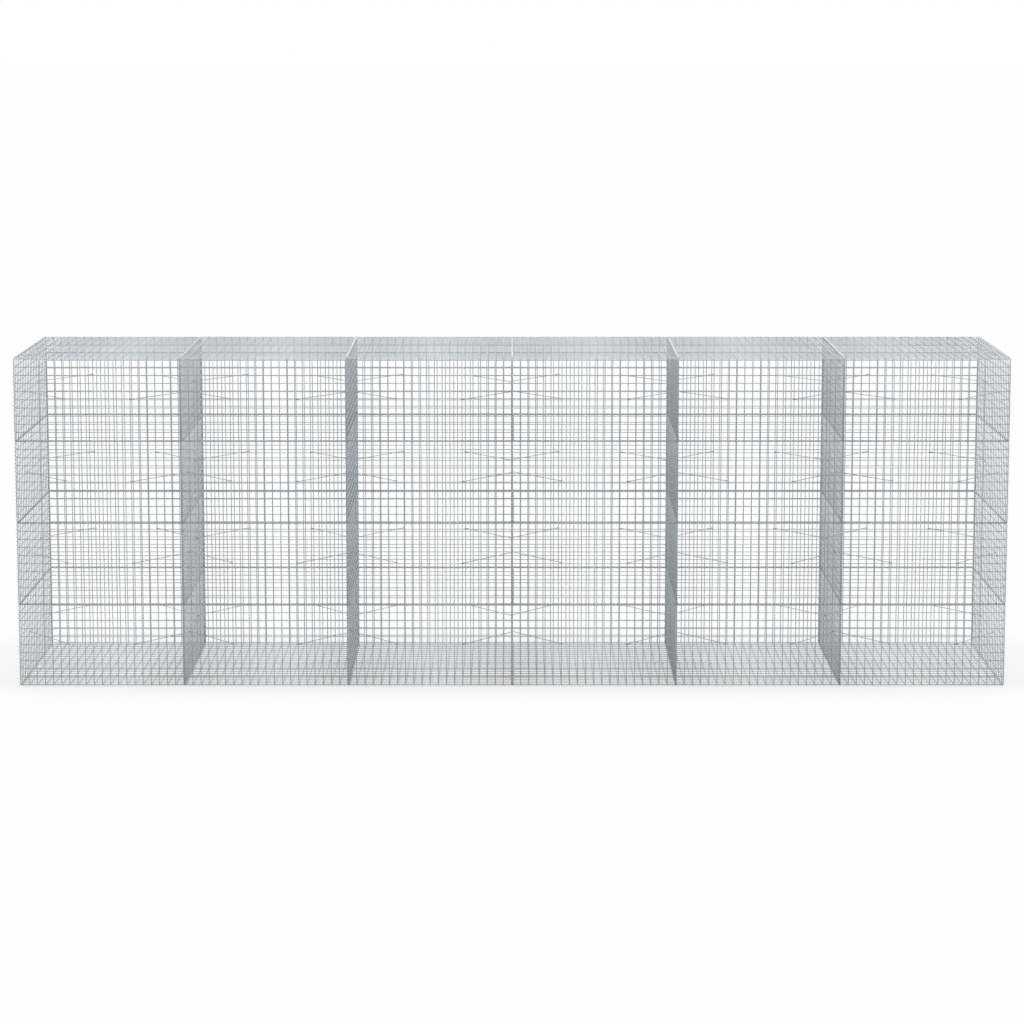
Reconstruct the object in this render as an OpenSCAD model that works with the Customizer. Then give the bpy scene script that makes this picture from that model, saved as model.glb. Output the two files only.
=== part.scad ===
// Empty gabion wall: a lidded basket of welded wire mesh in six bays.
// Panels stand in rows of four, dividers part the bays and corner braces tie the faces.
// X runs along the wall, Y from front to back, Z up. The origin is under the middle.

/* [Wall] */
// Length of one bay, from joint to joint
bay_length = 1006; // [506:50:1506]
// Depth of the basket, from the front joints to the back ones
wall_depth = 1006; // [506:50:1506]
// Height of one row of panels, from joint to joint
row_height = 506; // [306:50:806]
// Radius of the spiral binders round the joints, which the outer faces are flush with
binder_radius = 8.3; // [7:0.1:12]

/* [Mesh] */
// Spacing of the upright wires, from middle to middle
mesh_pitch = 50; // [40:5:100]
// Width of a wire across the face of its panel
wire_width = 5; // [3:0.5:6]
// Thickness of a panel, with its two layers of crossing wires
panel_thickness = 10; // [6:0.5:12]
// Clearance between the edges of two neighbouring panels
panel_gap = 0.5; // [0.3:0.1:0.9]
// Clearance between the two layers of wires in a cover
layer_gap = 0.3; // [0.1:0.1:0.8]

/* [Braces] */
// Distance from a bay's corner to where a brace hooks on, taken to the nearest wire
brace_leg = 300; // [150:50:400]
// Diameter of a brace wire
brace_diameter = 4; // [3:0.5:6]
// Clearance between a brace's end and the wire that it hooks on
brace_gap = 0.3; // [0.2:0.1:0.8]

/* [Hidden] */
bay_count = 6;
row_count = 4;
strip_count = 2;
zinc = [0.74, 0.77, 0.79];
zinc_shade = [0.66, 0.69, 0.71];
brace_zinc = [0.55, 0.58, 0.60];

// The joints, from which the wires are counted, and the outer faces past them
first_joint_x = -bay_length * bay_count / 2;
first_joint_y = -wall_depth / 2;
half_length = binder_radius - first_joint_x;
half_depth = binder_radius - first_joint_y;
wall_height = row_height * row_count + 2 * binder_radius;
strip_depth = wall_depth / strip_count;
// Wires come at the pitch that fits a whole number of times
bay_meshes = round(bay_length / mesh_pitch);
depth_meshes = round(wall_depth / mesh_pitch);
bay_pitch = bay_length / bay_meshes;
depth_pitch = wall_depth / depth_meshes;
// The wires that the braces hook on, as distances from the corner's joint
hook_along = round(brace_leg / bay_pitch) * bay_pitch;
hook_across = round(brace_leg / depth_pitch) * depth_pitch;
// The dividers and ends stand between the front and back panels
inner_front = -half_depth + panel_thickness + panel_gap;
inner_back = -inner_front;

function bay_start(bay) = first_joint_x + (bay - 1) * bay_length;
function bay_end(bay) = bay_start(bay) + bay_length;
function row_joint(row) = binder_radius + row * row_height;

// The inner sides of the end panels and dividers at either end of a bay
function left_side(bay) = bay == 1 ? panel_thickness - half_length
    : bay_start(bay) + panel_thickness / 2;
function right_side(bay) = bay == bay_count ? half_length - panel_thickness
    : bay_end(bay) - panel_thickness / 2;

// Middles of the wires between two edge wires, on a grid that starts at zero_at
function inner_wires(from, to, zero_at, pitch, count) =
    [for (i = [1 : count - 1])
        let (at = zero_at + i * pitch)
        if (at - from > 2 * wire_width && to - at > 2 * wire_width) at];

// One welded panel, flat: edge wires all round, and upright wires across it
module welded_panel(from_u, to_u, from_v, to_v, wires_u) {
    lines = concat([from_u + wire_width / 2], wires_u, [to_u - wire_width / 2]);
    difference() {
        translate([from_u, from_v])
            square([to_u - from_u, to_v - from_v]);
        for (i = [0 : len(lines) - 2])
            translate([lines[i] + wire_width / 2, from_v + wire_width])
                square([lines[i + 1] - lines[i] - wire_width, to_v - from_v - 2 * wire_width]);
    }
}

// Panels one above the other, each a solid of its own
module panel_rows(from_u, to_u, wires_u) {
    for (row = [1 : row_count])
        linear_extrude(height = panel_thickness)
            welded_panel(
                from_u, to_u,
                row == 1 ? 0 : row_joint(row - 1) + panel_gap / 2,
                row == row_count ? wall_height : row_joint(row) - panel_gap / 2,
                wires_u);
}

// The upright face of one bay, with its outer side at y = 0
module long_face(bay) {
    from = bay == 1 ? -half_length : bay_start(bay) + panel_gap / 2;
    to = bay == bay_count ? half_length : bay_end(bay) - panel_gap / 2;
    translate([0, panel_thickness, 0])
        rotate([90, 0, 0])
            panel_rows(from, to, inner_wires(from, to, bay_start(bay), bay_pitch, bay_meshes));
}

module front_bay(bay) {
    color(zinc)
        translate([0, -half_depth, 0])
            long_face(bay);
}

module back_bay(bay) {
    color(zinc)
        translate([0, half_depth - panel_thickness, 0])
            long_face(bay);
}

// A panel wall across the basket, from x = 0 to its thickness
module cross_face() {
    rotate([90, 0, 90])
        panel_rows(
            inner_front, inner_back,
            inner_wires(inner_front, inner_back, first_joint_y, depth_pitch, depth_meshes));
}

module divider(number) {
    color(zinc_shade)
        translate([bay_end(number) - panel_thickness / 2, 0, 0])
            cross_face();
}

module end_left() {
    color(zinc_shade)
        translate([-half_length, 0, 0])
            cross_face();
}

module end_right() {
    color(zinc_shade)
        translate([half_length - panel_thickness, 0, 0])
            cross_face();
}

// Where the strips of a base or cover begin and stop, from front to back
function strip_start(strip) = strip == 1 ? inner_front
    : first_joint_y + (strip - 1) * strip_depth + panel_gap / 2;
function strip_end(strip) = strip == strip_count ? inner_back
    : first_joint_y + strip * strip_depth - panel_gap / 2;

// The strips that close one bay from below
module base_bay(bay) {
    from = left_side(bay) + panel_gap;
    to = right_side(bay) - panel_gap;
    color(zinc_shade)
        for (strip = [1 : strip_count])
            linear_extrude(height = panel_thickness)
                welded_panel(
                    from, to, strip_start(strip), strip_end(strip),
                    inner_wires(from, to, bay_start(bay), bay_pitch, bay_meshes));
}

// One strip of a cover: wires along the wall that lie on a crossing wire at each end
module cover_strip(from_x, to_x, from_y, to_y) {
    layer = (panel_thickness - layer_gap) / 2;
    wires_y = inner_wires(from_y, to_y, first_joint_y, depth_pitch, depth_meshes);
    for (x = [from_x, to_x - wire_width])
        translate([x, from_y, 0])
            cube([wire_width, to_y - from_y, layer]);
    for (y = concat([from_y + wire_width / 2], wires_y, [to_y - wire_width / 2]))
        translate([from_x, y - wire_width / 2, layer + layer_gap])
            cube([to_x - from_x, wire_width, layer]);
}

// The strips that close one bay from above. Their wires are solids of their own,
// so that the space for the stones is as open from above as the mesh is.
module cover_bay(bay) {
    color(zinc)
        translate([0, 0, wall_height - panel_thickness])
            for (strip = [1 : strip_count])
                cover_strip(
                    left_side(bay) + panel_gap, right_side(bay) - panel_gap,
                    strip_start(strip), strip_end(strip));
}

// One brace across a corner, in plan: from the long face to the cross face.
// face_y and face_x are the panels' inner sides, at_x and at_y are the hooked wires.
module brace(at_x, face_y, face_x, at_y) {
    // the rim of the slanting rod stands ahead of its axis by this much
    rim = brace_diameter / 2 * sin(45) + brace_gap;
    start = [at_x, face_y - sign(face_y) * rim];
    finish = [face_x + sign(at_x - face_x) * rim, at_y];
    run = finish - start;
    translate([start[0], start[1], 0])
        rotate([0, 0, atan2(run[1], run[0])])
            rotate([0, 90, 0])
                cylinder(h = norm(run), d = brace_diameter, $fn = 24);
}

// The four corners of a bay, in the middle of each row
module braces_bay(bay) {
    face_y = half_depth - panel_thickness;
    hook_y = wall_depth / 2 - hook_across;
    color(brace_zinc)
        for (row = [1 : row_count])
            translate([0, 0, (row_joint(row - 1) + row_joint(row)) / 2])
                for (side = [-1, 1]) {
                    brace(bay_start(bay) + hook_along, side * face_y, left_side(bay), side * hook_y);
                    brace(bay_end(bay) - hook_along, side * face_y, right_side(bay), side * hook_y);
                }
}

front_bay(1);  // front_bay_1
front_bay(2);  // front_bay_2
front_bay(3);  // front_bay_3
front_bay(4);  // front_bay_4
front_bay(5);  // front_bay_5
front_bay(6);  // front_bay_6
back_bay(1);  // back_bay_1
back_bay(2);  // back_bay_2
back_bay(3);  // back_bay_3
back_bay(4);  // back_bay_4
back_bay(5);  // back_bay_5
back_bay(6);  // back_bay_6
base_bay(1);  // base_bay_1
base_bay(2);  // base_bay_2
base_bay(3);  // base_bay_3
base_bay(4);  // base_bay_4
base_bay(5);  // base_bay_5
base_bay(6);  // base_bay_6
cover_bay(1);  // cover_bay_1
cover_bay(2);  // cover_bay_2
cover_bay(3);  // cover_bay_3
cover_bay(4);  // cover_bay_4
cover_bay(5);  // cover_bay_5
cover_bay(6);  // cover_bay_6
end_left();
divider(1);  // divider_1
divider(2);  // divider_2
divider(3);  // divider_3
divider(4);  // divider_4
divider(5);  // divider_5
end_right();
braces_bay(1);  // braces_bay_1
braces_bay(2);  // braces_bay_2
braces_bay(3);  // braces_bay_3
braces_bay(4);  // braces_bay_4
braces_bay(5);  // braces_bay_5
braces_bay(6);  // braces_bay_6
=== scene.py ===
import math

import bpy
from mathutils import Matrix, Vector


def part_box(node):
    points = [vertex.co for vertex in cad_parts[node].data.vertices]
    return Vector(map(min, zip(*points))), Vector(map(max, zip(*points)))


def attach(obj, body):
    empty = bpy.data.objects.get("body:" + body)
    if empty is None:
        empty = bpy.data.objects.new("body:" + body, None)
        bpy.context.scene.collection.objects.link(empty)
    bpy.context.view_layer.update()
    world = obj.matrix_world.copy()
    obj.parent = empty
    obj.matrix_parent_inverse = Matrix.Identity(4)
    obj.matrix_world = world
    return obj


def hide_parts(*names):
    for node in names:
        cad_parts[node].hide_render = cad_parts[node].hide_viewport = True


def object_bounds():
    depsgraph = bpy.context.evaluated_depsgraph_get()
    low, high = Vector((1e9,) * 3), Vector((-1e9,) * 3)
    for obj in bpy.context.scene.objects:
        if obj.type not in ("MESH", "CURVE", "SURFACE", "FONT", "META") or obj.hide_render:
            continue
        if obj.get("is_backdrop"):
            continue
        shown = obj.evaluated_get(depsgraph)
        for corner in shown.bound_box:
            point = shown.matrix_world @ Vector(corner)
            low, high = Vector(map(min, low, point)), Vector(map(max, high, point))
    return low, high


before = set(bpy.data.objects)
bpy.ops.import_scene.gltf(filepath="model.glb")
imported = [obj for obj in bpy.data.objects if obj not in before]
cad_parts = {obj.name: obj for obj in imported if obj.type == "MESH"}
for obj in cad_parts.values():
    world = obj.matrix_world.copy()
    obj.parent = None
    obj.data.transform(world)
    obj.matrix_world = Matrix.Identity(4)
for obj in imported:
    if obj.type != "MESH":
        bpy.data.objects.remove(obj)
cad_low, cad_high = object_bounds()

# Front and back walls: six bays of four welded mesh panels, 1.0 m by 0.5 m.
# Straight steel wires cross every 50 mm and are spot-welded, the uprights outside,
# then the whole panel is dipped in zinc. Spiral binders lace the panels together.
bay_count = 6
row_count = 4
bay_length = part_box("divider_2")[0].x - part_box("divider_1")[0].x
wall_half_length = bay_length * bay_count / 2
binder_reach = cad_high.x - wall_half_length
joint_y = cad_high.y - binder_reach
row_height = (cad_high.z - 2 * binder_reach) / row_count

wire_diameter = 0.005
wire_sides = 8
end_bevel = 0.0006
layer_step = 0.85 * wire_diameter
edge_inset = 0.00275
upright_reach = 0.002
crossing_reach = 0.0006
bead_radius = 0.66 * wire_diameter
bead_flattening = 0.5
smooth_below = math.radians(50)
bay_meshes = 20
row_meshes = 10
wall_uprights_offset = 0.0011
wall_uprights_y = joint_y + wall_uprights_offset


def select_only(*pieces):
    """Leaves only these pieces selected, with the first one active."""
    bpy.ops.object.select_all(action="DESELECT")
    for piece in pieces:
        piece.select_set(True)
    bpy.context.view_layer.objects.active = pieces[0]


def edit_faces(piece, wanted):
    """Opens a piece in edit mode with only the wanted faces selected."""
    select_only(piece)
    bpy.ops.object.mode_set(mode="EDIT")
    bpy.ops.mesh.select_mode(type="FACE")
    bpy.ops.mesh.select_all(action="DESELECT")
    bpy.ops.object.mode_set(mode="OBJECT")
    for face in piece.data.polygons:
        face.select = wanted(face)
    bpy.ops.object.mode_set(mode="EDIT")


def round_wire(diameter, length, centre, turn=(0, 0, 0)):
    """A straight wire whose ends are sheared off and a little rounded."""
    bpy.ops.object.select_all(action="DESELECT")
    bpy.ops.mesh.primitive_cylinder_add(
        vertices=wire_sides, radius=diameter / 2, depth=length, location=centre, rotation=turn)
    wire = bpy.context.object
    bpy.ops.object.transform_apply(location=True, rotation=True, scale=True)
    edit_faces(wire, lambda face: len(face.vertices) > 4)
    bpy.ops.mesh.bevel(offset=end_bevel, segments=1)
    bpy.ops.object.mode_set(mode="OBJECT")
    return wire


def repeat(piece, count, step):
    """Replaces a piece with a row of itself."""
    select_only(piece)
    bpy.ops.object.modifier_add(type="ARRAY")
    row = piece.modifiers[-1]
    row.count = count
    row.use_relative_offset = False
    row.use_constant_offset = True
    row.constant_offset_displace = step
    bpy.ops.object.modifier_apply(modifier=row.name)


def join(*pieces):
    """Makes the pieces one, under the first one's name."""
    select_only(*pieces)
    bpy.ops.object.join()
    return pieces[0]


def smooth(piece):
    """Shades a piece smooth, apart from its sharp edges."""
    select_only(piece)
    bpy.ops.object.shade_smooth_by_angle(angle=smooth_below)


def weld_bead(centre):
    """The small swelling where two wires have been melted into each other."""
    bpy.ops.object.select_all(action="DESELECT")
    bpy.ops.mesh.primitive_uv_sphere_add(
        segments=4, ring_count=2, radius=bead_radius, location=centre,
        rotation=(math.radians(90), 0, 0))
    bead = bpy.context.object
    bead.scale = (1, 1, bead_flattening)
    bpy.ops.object.transform_apply(location=True, rotation=True, scale=True)
    return bead


def welded_panel(width, height, across, up):
    """Uprights in the plane y = 0 and crossing wires behind them.

    The width and height are taken between the middles of the edge wires.
    """
    uprights = round_wire(wire_diameter, height + 2 * upright_reach, (0, 0, height / 2))
    repeat(uprights, across + 1, (width / across, 0, 0))
    crossings = round_wire(
        wire_diameter, width + 2 * crossing_reach, (width / 2, layer_step, 0),
        turn=(0, math.radians(90), 0))
    repeat(crossings, up + 1, (0, 0, height / up))
    beads = weld_bead((0, layer_step / 2, 0))
    repeat(beads, across + 1, (width / across, 0, 0))
    repeat(beads, up + 1, (0, 0, height / up))
    panel = join(uprights, crossings, beads)
    smooth(panel)
    return panel


def placed_copy(source, name, place, turn=(0, 0, 0)):
    """A copy with a mesh of its own, turned and then moved, with its place in the mesh."""
    select_only(source)
    bpy.ops.object.duplicate()
    piece = bpy.context.object
    piece.name = name
    piece.location = place
    piece.rotation_euler = turn
    bpy.ops.object.transform_apply(location=True, rotation=True, scale=True)
    return piece


grain_scale = 420
patch_scale = 9
speck_scale = 900
grain_share = 0.5
speck_height = 0.5


def zinc_coat():
    """Hot-dip zinc: fine grains of lighter and darker grey, broad cloudy patches, dull spots."""
    group = bpy.data.node_groups.new("zinc_coat", "ShaderNodeTree")
    sockets = group.interface
    for name, kind in (("Light", "NodeSocketColor"), ("Dark", "NodeSocketColor"),
                       ("Shine", "NodeSocketFloat"), ("Dull", "NodeSocketFloat")):
        sockets.new_socket(name, in_out="INPUT", socket_type=kind)
    for name, kind in (("Colour", "NodeSocketColor"), ("Roughness", "NodeSocketFloat"),
                       ("Height", "NodeSocketFloat")):
        sockets.new_socket(name, in_out="OUTPUT", socket_type=kind)
    nodes, link = group.nodes, group.links.new
    inputs = nodes.new("NodeGroupInput")
    outputs = nodes.new("NodeGroupOutput")
    place = nodes.new("ShaderNodeTexCoord")
    grains = nodes.new("ShaderNodeTexVoronoi")
    grains.inputs["Scale"].default_value = grain_scale
    patches = nodes.new("ShaderNodeTexNoise")
    patches.inputs["Scale"].default_value = patch_scale
    patches.inputs["Detail"].default_value = 5
    specks = nodes.new("ShaderNodeTexNoise")
    specks.inputs["Scale"].default_value = speck_scale
    specks.inputs["Detail"].default_value = 2
    for texture in (grains, patches, specks):
        link(place.outputs["Object"], texture.inputs["Vector"])
    grain_value = nodes.new("ShaderNodeSeparateColor")
    link(grains.outputs["Color"], grain_value.inputs["Color"])
    cloud = nodes.new("ShaderNodeMath")
    cloud.operation = "MULTIPLY_ADD"
    cloud.inputs[1].default_value = grain_share
    link(grain_value.outputs["Red"], cloud.inputs[0])
    spread = nodes.new("ShaderNodeMath")
    spread.operation = "MULTIPLY"
    spread.inputs[1].default_value = 1 - grain_share
    link(patches.outputs["Fac"], spread.inputs[0])
    link(spread.outputs["Value"], cloud.inputs[2])
    tone = nodes.new("ShaderNodeMix")
    tone.data_type = "RGBA"
    link(cloud.outputs["Value"], tone.inputs["Factor"])
    link(inputs.outputs["Light"], tone.inputs["A"])
    link(inputs.outputs["Dark"], tone.inputs["B"])
    link(tone.outputs["Result"], outputs.inputs["Colour"])
    sheen = nodes.new("ShaderNodeMix")
    link(patches.outputs["Fac"], sheen.inputs["Factor"])
    link(inputs.outputs["Shine"], sheen.inputs["A"])
    link(inputs.outputs["Dull"], sheen.inputs["B"])
    link(sheen.outputs["Result"], outputs.inputs["Roughness"])
    relief = nodes.new("ShaderNodeMath")
    relief.operation = "MULTIPLY_ADD"
    relief.inputs[1].default_value = speck_height
    link(specks.outputs["Fac"], relief.inputs[0])
    link(grains.outputs["Distance"], relief.inputs[2])
    link(relief.outputs["Value"], outputs.inputs["Height"])
    return group


zinc_group = zinc_coat()


def zinc_material(name, light, dark, shine, dull):
    """Zinc between two greys, and between two roughnesses."""
    material = bpy.data.materials.new(name)
    material.use_nodes = True
    nodes, link = material.node_tree.nodes, material.node_tree.links.new
    surface = nodes["Principled BSDF"]
    surface.inputs["Metallic"].default_value = 0.5
    coat = nodes.new("ShaderNodeGroup")
    coat.node_tree = zinc_group
    coat.inputs["Light"].default_value = (*light, 1)
    coat.inputs["Dark"].default_value = (*dark, 1)
    coat.inputs["Shine"].default_value = shine
    coat.inputs["Dull"].default_value = dull
    grain = nodes.new("ShaderNodeBump")
    grain.inputs["Strength"].default_value = 0.25
    grain.inputs["Distance"].default_value = 0.0003
    link(coat.outputs["Colour"], surface.inputs["Base Color"])
    link(coat.outputs["Roughness"], surface.inputs["Roughness"])
    link(coat.outputs["Height"], grain.inputs["Height"])
    link(grain.outputs["Normal"], surface.inputs["Normal"])
    return material


panel_zinc = zinc_material("panel_zinc", (0.53, 0.56, 0.585), (0.43, 0.455, 0.475), 0.34, 0.5)


def fit_panel(piece, node):
    """Puts a mesh panel in the place of its plain node."""
    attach(piece, "root")
    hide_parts(node)


def joint_x(joint):
    """The joints run from 0 at the left end to bay_count at the right."""
    return joint * bay_length - wall_half_length


mesh_width = bay_length - 2 * edge_inset
mesh_height = row_height - 2 * edge_inset
first_row_z = binder_reach + edge_inset
wall = welded_panel(mesh_width, mesh_height, bay_meshes, row_meshes)
wall.data.materials.append(panel_zinc)
repeat(wall, row_count, (0, 0, row_height))
half_turn = (0, 0, math.radians(180))
for bay in range(1, bay_count + 1):
    from_x = joint_x(bay - 1) + edge_inset
    front = placed_copy(wall, f"front_mesh_bay_{bay}", (from_x, -wall_uprights_y, first_row_z))
    fit_panel(front, f"front_bay_{bay}")
    to_x = from_x + mesh_width
    back = placed_copy(wall, f"back_mesh_bay_{bay}", (to_x, wall_uprights_y, first_row_z), half_turn)
    fit_panel(back, f"back_bay_{bay}")
bpy.data.objects.remove(wall)

# Ends and dividers: the same welded panels set across the basket, four rows high.
# The two end panels close it and the five dividers part the bays.
# They stand between the walls and are laced to the walls' edge wires.
cross_setback = 0.0035
cross_uprights_y = joint_y - cross_setback
cross_meshes = 20

cross = welded_panel(2 * cross_uprights_y, mesh_height, cross_meshes, row_meshes)
cross.data.materials.append(panel_zinc)
repeat(cross, row_count, (0, 0, row_height))
facing_right = (0, 0, math.radians(-90))
facing_left = (0, 0, math.radians(90))

for joint in range(bay_count):
    place = (joint_x(joint), cross_uprights_y, first_row_z)
    name = f"divider_mesh_{joint}" if joint else "end_mesh_left"
    node = f"divider_{joint}" if joint else "end_left"
    fit_panel(placed_copy(cross, name, place, facing_right), node)
place = (joint_x(bay_count), -cross_uprights_y, first_row_z)
fit_panel(placed_copy(cross, "end_mesh_right", place, facing_left), "end_right")
bpy.data.objects.remove(cross)

# Base: two strips of welded mesh in each bay, on the ground between the walls.
# Its long wires lie on the crossing ones, against the walls' lowest wires.
strip_meshes = 10
strip_wires_z = 0.007
strip_setback = 0.0073
strip_edge_y = joint_y - strip_setback

strip = welded_panel(mesh_width, strip_edge_y - edge_inset, bay_meshes, strip_meshes)
strip.data.materials.append(panel_zinc)
long_wires_up = (math.radians(90), 0, 0)
for bay in range(1, bay_count + 1):
    from_x = joint_x(bay - 1) + edge_inset
    halves = [
        placed_copy(strip, f"base_mesh_bay_{bay}", (from_x, y, strip_wires_z), long_wires_up)
        for y in (-edge_inset, strip_edge_y)]
    fit_panel(join(*halves), f"base_bay_{bay}")

# Cover: the lid of each bay, two more strips that are laced down once the stones are in.
# They lie the other way up, with their long wires underneath.
cover_wires_z = cad_high.z - strip_wires_z
long_wires_down = (math.radians(-90), 0, 0)
for bay in range(1, bay_count + 1):
    from_x = joint_x(bay - 1) + edge_inset
    halves = [
        placed_copy(strip, f"cover_mesh_bay_{bay}", (from_x, y, cover_wires_z), long_wires_down)
        for y in (-strip_edge_y, edge_inset)]
    fit_panel(join(*halves), f"cover_bay_{bay}")
bpy.data.objects.remove(strip)

# Spiral binders: close coils of thin galvanised wire that lace every joint of the panels.
# Each is wound on past the edge wires of both panels, two turns to a mesh.
binder_wire = 0.0022
binder_radius = binder_reach - binder_wire / 2
binder_sides = 4
steps_a_turn = 8
turns_a_mesh = 2
binder_clearance = 0.015
binder_zinc = zinc_material("binder_zinc", (0.7, 0.72, 0.735), (0.62, 0.64, 0.655), 0.6, 0.75)


def spiral(length, pitch, from_angle):
    """A right-handed coil round the z axis, up from the origin."""
    slope = math.atan2(2 * math.pi * binder_radius, pitch)
    bpy.ops.object.select_all(action="DESELECT")
    bpy.ops.mesh.primitive_circle_add(
        vertices=binder_sides, radius=binder_wire / 2, fill_type="NOTHING",
        location=(binder_radius, 0, 0), rotation=(-slope, 0, 0))
    coil = bpy.context.object
    bpy.ops.object.transform_apply(location=True, rotation=True, scale=True)
    bpy.ops.object.modifier_add(type="SCREW")
    winding = coil.modifiers[-1]
    winding.angle = 2 * math.pi
    winding.screw_offset = pitch
    winding.iterations = round(length / pitch)
    winding.steps = winding.render_steps = steps_a_turn
    bpy.ops.object.modifier_apply(modifier=winding.name)
    bpy.ops.object.mode_set(mode="EDIT")
    bpy.ops.mesh.select_all(action="SELECT")
    bpy.ops.mesh.fill_holes(sides=binder_sides)
    bpy.ops.mesh.select_all(action="SELECT")
    bpy.ops.mesh.normals_make_consistent(inside=False)
    bpy.ops.object.mode_set(mode="OBJECT")
    coil.rotation_euler = (0, 0, from_angle)
    bpy.ops.object.transform_apply(location=True, rotation=True, scale=True)
    smooth(coil)
    coil.data.materials.append(binder_zinc)
    return coil


def fit_binders(coils):
    """Joins coils into one piece, which stands for no plain node."""
    piece = join(*coils)
    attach(piece, "root")


bay_pitch = mesh_width / bay_meshes / turns_a_mesh
cross_pitch = 2 * cross_uprights_y / cross_meshes / turns_a_mesh
row_pitch = mesh_height / row_meshes / turns_a_mesh
along = spiral(bay_length - 2 * binder_clearance, bay_pitch, from_angle=math.radians(40))
across = spiral(2 * (joint_y - binder_clearance), cross_pitch, from_angle=math.radians(20))
upright = spiral(row_height - 2 * binder_clearance, row_pitch, from_angle=math.radians(130))
to_right = (0, math.radians(90), 0)
to_back = (math.radians(-90), 0, 0)

seam_y = wall_uprights_y - layer_step
edge_seam_inset = 0.002
edge_seam_lift = 0.0012
edge_seam_y = seam_y - edge_seam_inset
edge_seam_z = binder_reach + edge_seam_lift
inner_seams = [(y, binder_reach + row * row_height)
               for row in range(1, row_count) for y in (-seam_y, seam_y)]
edge_seams = [(y, z) for z in (edge_seam_z, cad_high.z - edge_seam_z)
              for y in (-edge_seam_y, edge_seam_y)]
strip_seams = [(0, strip_wires_z + layer_step), (0, cover_wires_z - layer_step)]
for bay in range(1, bay_count + 1):
    from_x = joint_x(bay - 1) + binder_clearance
    fit_binders([
        placed_copy(along, f"bay_binders_{bay}", (from_x, y, z), to_right)
        for y, z in inner_seams + edge_seams + strip_seams])

cross_heights = [binder_reach + row * row_height for row in range(row_count + 1)]
for joint in range(bay_count + 1):
    end_names = {0: "end_binders_left", bay_count: "end_binders_right"}
    name = end_names.get(joint, f"divider_binders_{joint}")
    side = -1 if joint == bay_count else 1
    x = joint_x(joint)
    coils = [
        placed_copy(upright, name, (x, y, z + binder_clearance))
        for y in (-joint_y, joint_y) for z in cross_heights[:-1]]
    coils += [
        placed_copy(across, name, (x + side * layer_step, binder_clearance - joint_y, z), to_back)
        for z in cross_heights]
    fit_binders(coils)
for coil in (along, across, upright):
    bpy.data.objects.remove(coil)

# Corner braces: cut lengths of galvanised wire, four to a bay in each row.
# Each ties a wall to the end or divider beside it and keeps the stones from bulging it.
# Its ends are bent round upright wires by hand, and it rests on the fifth crossing wire.
brace_diameter = 0.004
hook_meshes = 6
rest_mesh = 5
hook_clearance = 0.0003
hook_radius = (wire_diameter + brace_diameter) / 2 + hook_clearance
hook_angle = math.radians(200)
hook_tail = 0.016
hook_steps = 9
end_margin = 0.0001
brace_zinc = zinc_material("brace_zinc", (0.40, 0.425, 0.445), (0.29, 0.31, 0.325), 0.36, 0.52)

along_mesh = mesh_width / bay_meshes
across_mesh = 2 * cross_uprights_y / cross_meshes
hook_x = edge_inset + hook_meshes * along_mesh
hook_y = cross_uprights_y - hook_meshes * across_mesh


def bend_end(brace, centre_x, way):
    """Bends the end of a straight brace round the upright at centre_x."""
    edit_faces(brace, lambda face: way * (face.center.x - centre_x) > 0 and abs(face.normal.x) > 0.9)
    bpy.ops.mesh.spin(
        steps=hook_steps, angle=-way * hook_angle, center=(centre_x, 0, 0), axis=(0, 0, 1))
    heading = -way * hook_angle
    bpy.ops.mesh.extrude_region_move(TRANSFORM_OT_translate={
        "value": (way * hook_tail * math.cos(heading), way * hook_tail * math.sin(heading), 0)})
    bpy.ops.object.mode_set(mode="OBJECT")


def hooked_brace(span):
    """Two uprights stand at x = 0 and x = span; the brace runs past them on the y > 0 side."""
    bpy.ops.object.select_all(action="DESELECT")
    bpy.ops.mesh.primitive_cylinder_add(
        vertices=wire_sides, radius=brace_diameter / 2, depth=span + 2 * end_margin,
        location=(span / 2, hook_radius, 0), rotation=(0, math.radians(90), 0))
    brace = bpy.context.object
    bpy.ops.object.transform_apply(location=True, rotation=True, scale=True)
    bend_end(brace, 0, -1)
    bend_end(brace, span, 1)
    smooth(brace)
    brace.data.materials.append(brace_zinc)
    return brace


run_x, run_y = hook_x, wall_uprights_y - hook_y
brace = hooked_brace(math.hypot(run_x, run_y))
lean = math.atan2(run_y, run_x)
for bay in range(1, bay_count + 1):
    left, right = joint_x(bay - 1), joint_x(bay)
    hooked = []
    for row in range(row_count):
        z = first_row_z + row * row_height + rest_mesh * mesh_height / row_meshes
        low = z + (wire_diameter + brace_diameter) / 2
        high = low + brace_diameter
        corners = [
            ((left + hook_x, -wall_uprights_y, high), math.pi - lean),
            ((left, hook_y, high), lean),
            ((right, -hook_y, low), lean - math.pi),
            ((right - hook_x, wall_uprights_y, low), -lean)]
        hooked += [
            placed_copy(brace, f"brace_wires_bay_{bay}", place, (0, 0, turn))
            for place, turn in corners]
    piece = join(*hooked)
    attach(piece, "root")
    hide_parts(f"braces_bay_{bay}")
bpy.data.objects.remove(brace)

# Floor: a wide pale studio floor that runs back to the horizon,
# matt, and given a glow for the camera that makes it as white as the room behind it.
floor_size = 400
floor_grey = 0.2
floor_glow = 0.65
bpy.ops.object.select_all(action="DESELECT")
bpy.ops.mesh.primitive_plane_add(size=floor_size, location=(0, 0, 0))
floor = bpy.context.object
floor.name = "floor"
floor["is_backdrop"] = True
paint = bpy.data.materials.new("floor_paint")
paint.use_nodes = True
nodes, link = paint.node_tree.nodes, paint.node_tree.links.new
matt = nodes["Principled BSDF"]
matt.inputs["Base Color"].default_value = (floor_grey, floor_grey, floor_grey, 1)
matt.inputs["Roughness"].default_value = 1
matt.inputs["Specular IOR Level"].default_value = 0
matt.inputs["Emission Color"].default_value = (1, 1, 1, 1)
rays = nodes.new("ShaderNodeLightPath")
seen = nodes.new("ShaderNodeMath")
seen.operation = "MAXIMUM"
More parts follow.
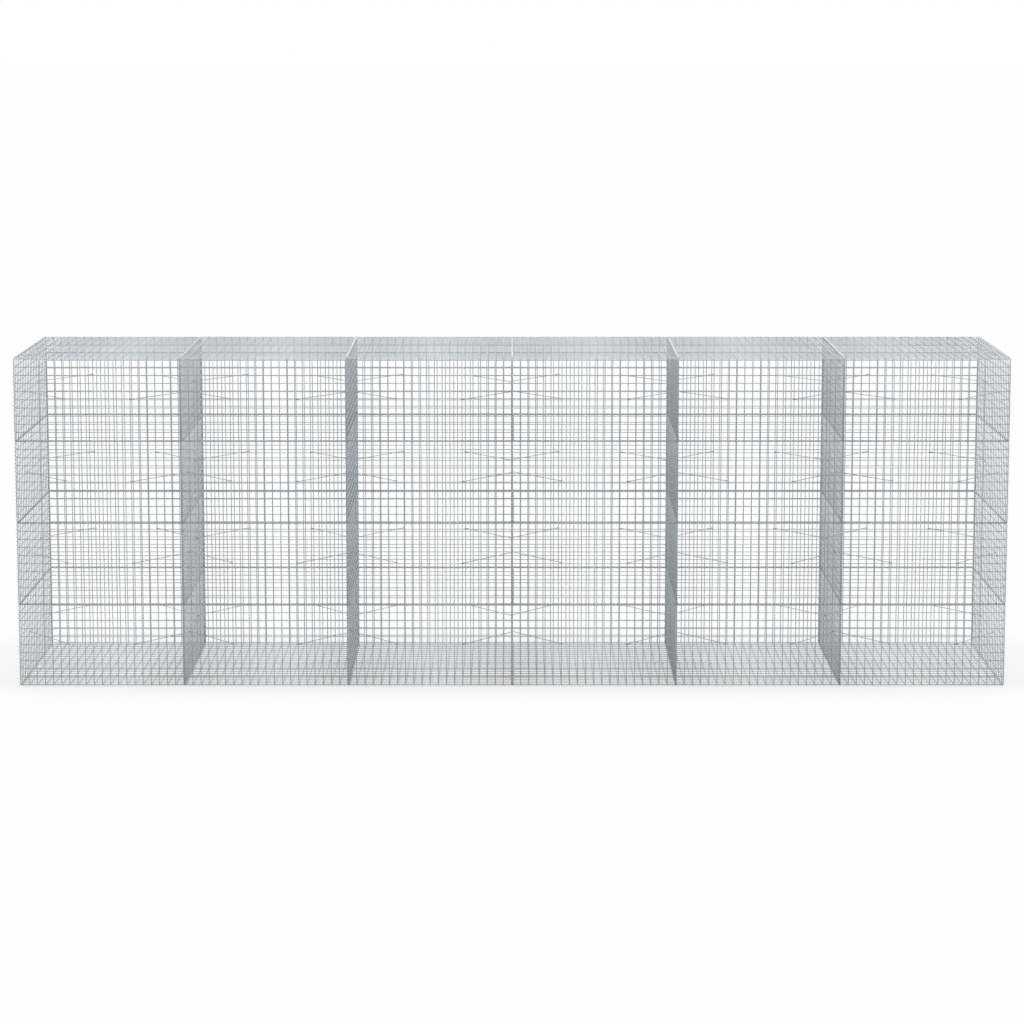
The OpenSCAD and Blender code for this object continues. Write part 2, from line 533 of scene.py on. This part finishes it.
link(rays.outputs["Is Camera Ray"], seen.inputs[0])
link(rays.outputs["Is Glossy Ray"], seen.inputs[1])
glow = nodes.new("ShaderNodeMath")
glow.operation = "MULTIPLY"
glow.inputs[1].default_value = floor_glow
link(seen.outputs["Value"], glow.inputs[0])
link(glow.outputs["Value"], matt.inputs["Emission Strength"])
floor.data.materials.append(paint)

# Studio light: an even pale room, one large soft lamp overhead,
# and two weaker ones that slant in from the left and the right.
room_light = 0.55
room_white = 1
lamp_height = 6
slant = math.radians(45)

world = bpy.data.worlds.new("studio")
bpy.context.scene.world = world
world.use_nodes = True
nodes, link = world.node_tree.nodes, world.node_tree.links.new
room = nodes["Background"]
room.inputs["Color"].default_value = (1, 1, 1, 1)
rays = nodes.new("ShaderNodeLightPath")
seen = nodes.new("ShaderNodeMath")
seen.operation = "MAXIMUM"
through = nodes.new("ShaderNodeMath")
through.operation = "MAXIMUM"
link(rays.outputs["Is Camera Ray"], seen.inputs[0])
link(rays.outputs["Is Glossy Ray"], seen.inputs[1])
link(seen.outputs["Value"], through.inputs[0])
link(rays.outputs["Is Transmission Ray"], through.inputs[1])
level = nodes.new("ShaderNodeMapRange")
level.inputs["To Min"].default_value = room_light
level.inputs["To Max"].default_value = room_white
link(through.outputs["Value"], level.inputs["Value"])
link(level.outputs["Result"], room.inputs["Strength"])


def soft_lamp(name, strength, spread, turn):
    """A far lamp whose spread, in degrees, softens its shadows."""
    bpy.ops.object.light_add(type="SUN", location=(0, 0, lamp_height), rotation=turn)
    lamp = bpy.context.object
    lamp.name = name
    lamp.data.energy = strength
    lamp.data.angle = math.radians(spread)


soft_lamp("overhead_lamp", 2.0, 35, (0, 0, 0))
soft_lamp("right_lamp", 1.2, 8, (0, slant, 0))
soft_lamp("left_lamp", 1.2, 8, (0, -slant, 0))

# Camera: on the wall's middle line, above it and well in front,
# tipped a little down and shifted so that the whole wall stays in the frame.
camera_data = bpy.data.cameras.new("camera")
camera = bpy.data.objects.new("camera", camera_data)
bpy.context.scene.collection.objects.link(camera)
camera_data.lens = 84.567
camera_data.shift_y = -0.22
camera_data.clip_end = 500
camera.location = (0, -14.919, 4.066)
camera.rotation_euler = (math.radians(90 - 6.319), 0, 0)
bpy.context.scene.camera = camera
bpy.context.scene.view_settings.view_transform = "Standard"

low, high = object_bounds()
